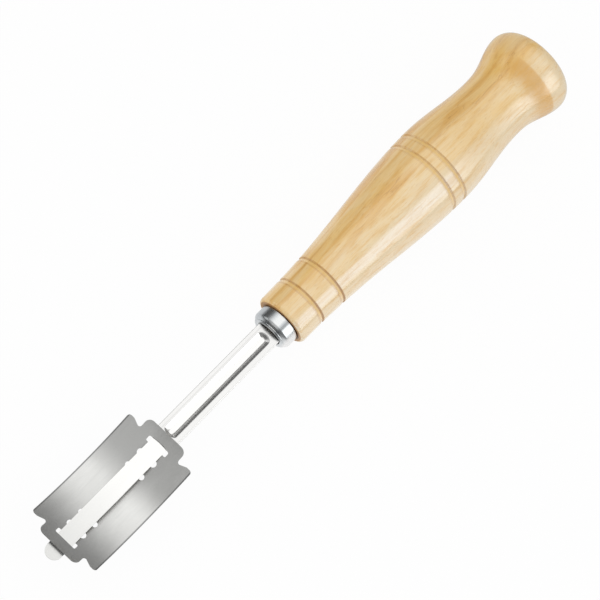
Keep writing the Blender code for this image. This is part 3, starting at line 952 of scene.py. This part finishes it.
def stainlessFinish():
    p = polish
    material, shader, place = newFinish("polishedStainless")
    rear = place.node("ShaderNodeAttribute", {"attribute_name": "rearSide"}, None, "Fac")
    drawn = place.noise(*p["drawnNoise"])
    cloud = place.noise(*p["cloudNoise"])
    x, y, z = place.parts()
    up = z - axisHeight / mm
    colour = cloud.ramp(*p["clouds"]).mix(*p["grey"])
    # painted highlight: the groove's floor and the tongue are brightest, and painted dark reflections make
    # fine lines along the rims
    onTongue = x.ramp(*(shankEnd / mm + past for past in p["tongueStart"]))
    floor = up.band(*p["floorHeight"]) * abs(y).ramp(*p["floorSide"])
    colour = floor.largest(onTongue).mix(colour, p["brightReflection"])
    # painted reflection: fine dark lines along both rims of the tube
    inner = y.line(p["innerLineAt"], p["innerLineFade"])
    outer = y.line(p["outerLineAt"], p["outerLineFade"])
    rimReflectionLines = inner.largest(outer) * up.ramp(*p["lineHeight"]) * (1 - onTongue)
    colour = (rimReflectionLines * p["rimReflectionShare"]).mix(colour, p["line"])
    # painted shade: the tongue darkens toward its tip
    toTip = x.ramp(bladeLow.x / mm + p["tipStart"], tongueHigh.x / mm)
    colour = toTip.mix(colour, p["tip"])
    # painted shade on the tongue's underside
    colour = (rear * p["rearShare"]).mix(colour, p["rear"])
    rough = cloud.above(*p["rough"]) + drawn * p["roughDrawn"] + rear * p["roughRear"]
    setShader(shader, {"Base Color": colour, "Metallic": 1.0, "Roughness": rough,
                       "Normal": bump(drawn, p["reliefDepth"])})
    return material


stainless = stainlessFinish()
tube = tubeMesh()
tube.materials.append(stainless)
addPiece("shankTube", tube, "holder", "shank_tube")


# marks the faces that look down with 1 in an attribute, for painted shade there, and on the tongue a
# rougher finish
def markRear(mesh, steepest=-0.3):
    rear = mesh.attributes.new("rearSide", "FLOAT", "FACE")
    marks = [1.0 if face.normal.z < steepest else 0.0 for face in mesh.polygons]
    rear.data.foreach_set("value", marks)


# a flat plate from closed outlines, the later ones being holes, lying about z = 0
def flatPlate(name, outlines, thickness):
    curve = bpy.data.curves.new(name, "CURVE")
    curve.dimensions = "2D"
    curve.fill_mode = "BOTH"
    curve.extrude = thickness / 2
    for outline in outlines:
        spline = curve.splines.new("POLY")
        spline.points.add(len(outline) - 1)
        for point, (x, y) in zip(spline.points, outline):
            point.co = (x, y, 0.0, 1.0)
        spline.use_cyclic_u = True
    shape = bpy.data.objects.new(name, curve)
    scene.collection.objects.link(shape)
    return tidyMesh(bakedMesh(shape, name), merge=4 * seam)


# tongue: a flat strip with eased edges and a round tip
tongue = {
    "edge": 0.2 * mm,
    "edgeSteps": 3,
    "tipSteps": 64,
    "sharp": math.radians(10),
}


def tongueMesh():
    half = tongueHigh.y
    thickness = tongueHigh.z - tongueLow.z
    outline = [(tongueLow.x, half), (tongueLow.x, -half)]
    outline += arc(tongueHigh.x - half, 0.0, half, -90, 90, tongue["tipSteps"])
    mesh = flatPlate("tongueStrip", [outline], thickness)
    source = bpy.data.objects.new("tongueSource", mesh)
    scene.collection.objects.link(source)
    eased = source.modifiers.new("easedEdges", "BEVEL")
    eased.width = tongue["edge"]
    eased.segments = tongue["edgeSteps"]
    eased.limit_method = "ANGLE"
    mesh = bakedMesh(source, "tongueStrip")
    mesh.transform(Matrix.Translation((0.0, 0.0, (tongueLow.z + tongueHigh.z) / 2)))
    mesh.shade_smooth()
    mesh.set_sharp_from_angle(angle=tongue["sharp"])
    markRear(mesh)
    return mesh


strip = tongueMesh()
strip.materials.append(stainless)
addPiece("tongueStrip", strip, "holder", "tongue")


# razor blade, cut flat and then bowed
blade = {
    "length": 43.0 * mm,
    "width": 22.0 * mm,
    "thickness": 0.1 * mm,
    "bow": 34.5 * mm,
    "bridge": 3.55 * mm,
    "tabCorner": 1.8 * mm,
    "tabReach": 3.0 * mm,
    "earWidth": 4.5 * mm,
    "earCorner": 0.9 * mm,
    "earDepth": 1.8 * mm,
    "earUndercut": 0.85 * mm,
    "undercutRadius": 0.75 * mm,
    "teeCorner": 0.35 * mm,
    "teeInner": 16.383 * mm,
    "teeSideGap": 0.9 * mm,
    "teeBulge": 0.4 * mm,        # at the tube's end only
    "slotLap": 0.3 * mm,
    "notchShow": 0.7 * mm,
    "outerNotchFromTee": 3.28 * mm,
    "outerNotchRadius": 1.0 * mm,
    "notchSpacing": 4.5 * mm,
    "innerNotchRadius": 0.8 * mm,
    "hone": 0.6 * mm,
    "honeEdgeShare": 0.15,
    "bendStation": 0.5 * mm,
    "cornerSteps": 12,
    "notchSteps": 16,
    "sharp": math.radians(3),
}
bladeMiddle = (bladeLow.x + bladeHigh.x) / 2


# a quarter outline mirrored to the other three quarters, going round once
def allRound(quarter):
    upper = quarter + [(-x, y) for x, y in reversed(quarter)]
    return upper + [(-x, -y) for x, y in upper]


def bladeEdge():
    b, steps = blade, blade["cornerSteps"]
    end, side = b["length"] / 2, b["width"] / 2
    ear = end - b["tabReach"]
    tab = side - b["earWidth"]
    recess = ear - b["earUndercut"] + b["undercutRadius"]
    quarter = arc(end - b["tabCorner"], tab - b["tabCorner"], b["tabCorner"], 0, 90, steps)
    quarter += arc(recess, tab + b["undercutRadius"], b["undercutRadius"], 270, 180, steps)
    quarter.append((ear, side - b["earDepth"]))
    quarter += arc(ear - b["earCorner"], side - b["earCorner"], b["earCorner"], 0, 90, steps)
    return allRound(quarter)


def notch(x, radius, edge):
    centre = tongueHigh.y + blade["notchShow"] - radius
    start = math.degrees(math.asin(max(0.0, (edge - centre) / radius)))
    bite = arc(x, centre, radius, start, 180 - start, blade["notchSteps"])
    if centre - edge > hair:
        bite = [(x + radius, edge)] + bite + [(x - radius, edge)]
    return bite


def bladeSlot():
    b, steps = blade, blade["cornerSteps"]
    edge = tongueHigh.y - b["slotLap"]
    reach = tongueHigh.y + b["teeSideGap"] - b["teeCorner"]
    slotEnd = b["length"] / 2 - b["bridge"]
    outer = b["teeInner"] - b["outerNotchFromTee"]
    quarter = arc(slotEnd - b["teeCorner"], reach, b["teeCorner"], 0, 90, steps)
    quarter += arc(b["teeInner"] + b["teeCorner"], reach, b["teeCorner"], 90, 180, steps)
    quarter.append((b["teeInner"], edge))
    quarter += notch(outer, b["outerNotchRadius"], edge)
    quarter += notch(outer - b["notchSpacing"], b["innerNotchRadius"], edge)
    outline = allRound(quarter)
    shares = [1 - i / steps for i in range(1, 2 * steps)]
    bulge = [(-slotEnd - b["teeBulge"] * (1 - share ** 2), reach * share) for share in shares]
    return outline[:len(outline) // 2] + bulge + outline[len(outline) // 2:]


def bladeMesh():
    b = blade
    mesh = flatPlate("razorBlade", [bladeEdge(), bladeSlot()], b["thickness"])
    work = bmesh.new()
    work.from_mesh(mesh)
    count = math.ceil(b["length"] / b["bendStation"])
    planes = [((b["length"] * (i / count - 0.5), 0.0, 0.0), (1.0, 0.0, 0.0)) for i in range(1, count)]
    planes += [((0.0, side * (b["width"] / 2 - b["hone"]), 0.0), (0.0, 1.0, 0.0)) for side in (-1, 1)]
    for point, normal in planes:
        every = work.verts[:] + work.edges[:] + work.faces[:]
        bmesh.ops.bisect_plane(work, geom=every, plane_co=point, plane_no=normal, dist=2 * seam)
    lowest = bladeLow.z + b["thickness"] / 2
    for vertex in work.verts:
        along, across, up = vertex.co
        if abs(across) > b["width"] / 2 - hair:
            up *= b["honeEdgeShare"]
        angle = along / b["bow"]
        vertex.co.x = bladeMiddle + (b["bow"] - up) * math.sin(angle)
        vertex.co.z = lowest + b["bow"] - (b["bow"] - up) * math.cos(angle)
    work.to_mesh(mesh)
    work.free()
    mesh.shade_smooth()
    mesh.set_sharp_from_angle(angle=b["sharp"])
    markRear(mesh)
    return mesh


bladeSteel = {
    "grey": ((0.735, 0.735, 0.715, 1.0), (0.79, 0.79, 0.77, 1.0)),
    "paleReflection": (0.85, 0.85, 0.83, 1.0),
    "brushed": (0.5, 0.5, 0.49, 1.0),
    "rear": (0.24, 0.24, 0.24, 1.0),
    "honed": (0.2, 0.2, 0.2, 1.0),
    "brushedNoise": ((0.08, 7.0, 0.5), 3.0, 0.65),
    "cloudNoise": ((0.1, 0.2, 0.2), 3.0, 0.55),
    "clouds": (0.3, 0.7),
    "paleReflectionAlong": (-4.0, -8.5),   # from the blade's middle
    "paleReflectionSide": (0.0, -4.0),
    "brushMarks": (0.5, 0.8),
    "brushShare": 0.25,
    "rearShare": 0.9,
    "honedFrom": (-0.5, -0.25),   # from its edges
    "honedShare": 0.75,
    "rough": (0.2, 0.1),          # everywhere, and more in the brush marks
    "roughHoned": 0.15,
    "reliefDepth": 0.003 * mm,
}


def bladeFinish():
    b = bladeSteel
    material, shader, place = newFinish("bladeSteel")
    x, y, _ = place.parts()
    brushed = place.noise(*b["brushedNoise"])
    cloud = place.noise(*b["cloudNoise"])
    honed = abs(y).ramp(*(blade["width"] / 2 / mm + past for past in b["honedFrom"]))
    colour = cloud.ramp(*b["clouds"]).mix(*b["grey"])
    # painted reflection: the -Y strip is paler toward the tube
    paleReflection = x.ramp(*(bladeMiddle / mm + past for past in b["paleReflectionAlong"])) * y.ramp(*b["paleReflectionSide"])
    colour = paleReflection.mix(colour, b["paleReflection"])
    colour = (brushed.ramp(*b["brushMarks"]) * b["brushShare"]).mix(colour, b["brushed"])
    rear = place.node("ShaderNodeAttribute", {"attribute_name": "rearSide"}, None, "Fac")
    # painted shade on the blade's underside
    colour = (rear * b["rearShare"]).mix(colour, b["rear"])
    colour = (honed * b["honedShare"]).mix(colour, b["honed"])
    rough = brushed.above(*b["rough"]) + honed * b["roughHoned"]
    setShader(shader, {"Base Color": colour, "Metallic": 1.0, "Roughness": rough,
                       "Normal": bump(brushed, b["reliefDepth"])})
    return material


bladeSheet = bladeMesh()
bladeSheet.materials.append(bladeFinish())
addPiece("razorBlade", bladeSheet, "blade", "razor_blade")


# adhesive around the tang, hidden in the handle: the CAD solid with its own finish
adhesive = {
    "colours": (tone(222, 204, 160), tone(188, 160, 104)),
    "cloudNoise": ((0.4, 0.8, 0.8), 3.0, 0.6),
    "bubbleNoise": ((2.5, 2.5, 2.5), 2.0),
    "clouds": (0.3, 0.7),
    "rough": (0.35, 0.25),
    "coat": 0.3,
    "reliefDepth": 0.05 * mm,
}


def adhesiveFinish():
    a = adhesive
    material, shader, place = newFinish("curedAdhesive")
    cloud = place.noise(*a["cloudNoise"])
    bubbles = place.noise(*a["bubbleNoise"])
    colour = cloud.ramp(*a["clouds"]).mix(*a["colours"])
    setShader(shader, {"Base Color": colour, "Roughness": cloud.above(*a["rough"]),
                       "Coat Weight": a["coat"], "Normal": bump(bubbles, a["reliefDepth"])})
    return material


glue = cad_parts["tang_glue"]
glue.data.materials.clear()
glue.data.materials.append(adhesiveFinish())
print("tang glue dressed")
